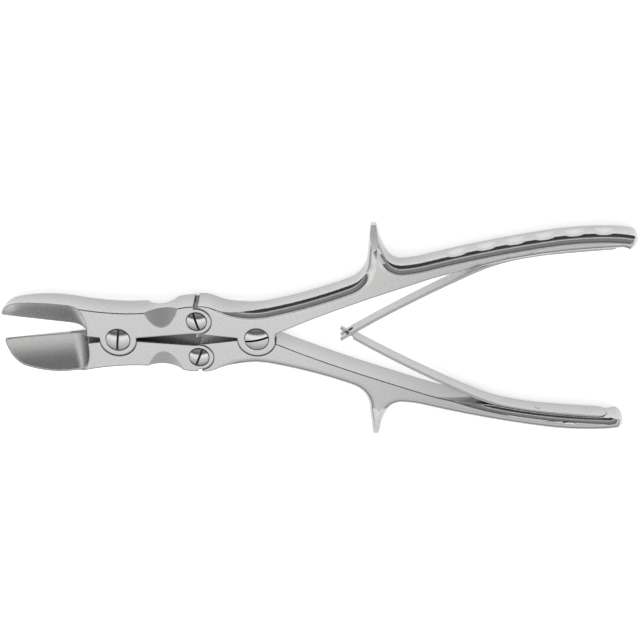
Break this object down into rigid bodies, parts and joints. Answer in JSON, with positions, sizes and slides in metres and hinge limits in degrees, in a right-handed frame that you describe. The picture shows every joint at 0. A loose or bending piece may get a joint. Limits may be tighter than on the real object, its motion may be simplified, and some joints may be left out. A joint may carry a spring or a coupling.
{
  "type": "bone cutting forceps",
  "caption": "Double-action bone cutting forceps: straight hollow-ground cutting jaws, compound pivot links, spurred handles and crossing leaf springs.",
  "frame": {"origin": "on the axis of the handle pivot, in the plane of the back faces that the tool rests on", "axes": "+X from the jaws to the handle ends, +Y across the tool towards the upper handle, +Z out of the face that shows the screw heads"},
  "size_m": [0.2695, 0.104, 0.0126],
  "materials": {
    "satin_steel": "satin stainless steel with a fine brushed grain, mirror-like in the hollow ground blades",
    "screw_steel": "polished stainless steel",
    "spring_steel": "satin hardened spring steel"
  },
  "bodies": {
    "lower_handle": {"lower_handle": "satin_steel", "lower_link_screw": "screw_steel", "handle_pivot_screw": "screw_steel", "lower_spring_rivets": "screw_steel"},
    "upper_handle": {"upper_handle": "satin_steel", "upper_link_screw": "screw_steel", "upper_spring_rivets": "screw_steel"},
    "lower_jaw": {"lower_jaw": "satin_steel", "jaw_pivot_screw": "screw_steel"},
    "upper_jaw": {"upper_jaw": "satin_steel"},
    "upper_spring": {"upper_leaf_spring": "spring_steel"},
    "lower_spring": {"lower_leaf_spring": "spring_steel"}
  },
  "joints": [
    {"name": "handle_pivot", "type": "hinge", "parent": "lower_handle", "child": "upper_handle", "pos_m": [0, 0, 0.00575], "axis": [0, 0, 1], "range_deg": [-17.5, 0], "stiffness_Nm_per_rad": 6},
    {"name": "lower_link_pivot", "type": "hinge", "parent": "lower_handle", "child": "lower_jaw", "pos_m": [-0.0252, -0.0089, 0.00575], "axis": [0, 0, 1], "range_deg": [-15.2, 0]},
    {"name": "jaw_pivot", "type": "hinge", "parent": "lower_jaw", "child": "upper_jaw", "pos_m": [-0.05945, 0, 0.00575], "axis": [0, 0, 1], "range_deg": [0, 12.8]},
    {"name": "upper_spring_flex", "type": "hinge", "parent": "upper_handle", "child": "upper_spring", "pos_m": [0.104, 0.0355, 0.00575], "axis": [0, 0, 1], "range_deg": [-5, 0], "deforming": ["upper_leaf_spring"]},
    {"name": "lower_spring_flex", "type": "hinge", "parent": "lower_handle", "child": "lower_spring", "pos_m": [0.104, -0.0355, 0.00575], "axis": [0, 0, 1], "range_deg": [0, 5], "deforming": ["lower_leaf_spring"]}
  ],
  "couplings": [
    {"joint": "lower_link_pivot", "follows": "handle_pivot", "ratio": 0.8635},
    {"joint": "jaw_pivot", "follows": "handle_pivot", "ratio": -0.727},
    {"joint": "upper_spring_flex", "follows": "handle_pivot", "ratio": 0.283},
    {"joint": "lower_spring_flex", "follows": "handle_pivot", "ratio": -0.283}
  ]
}
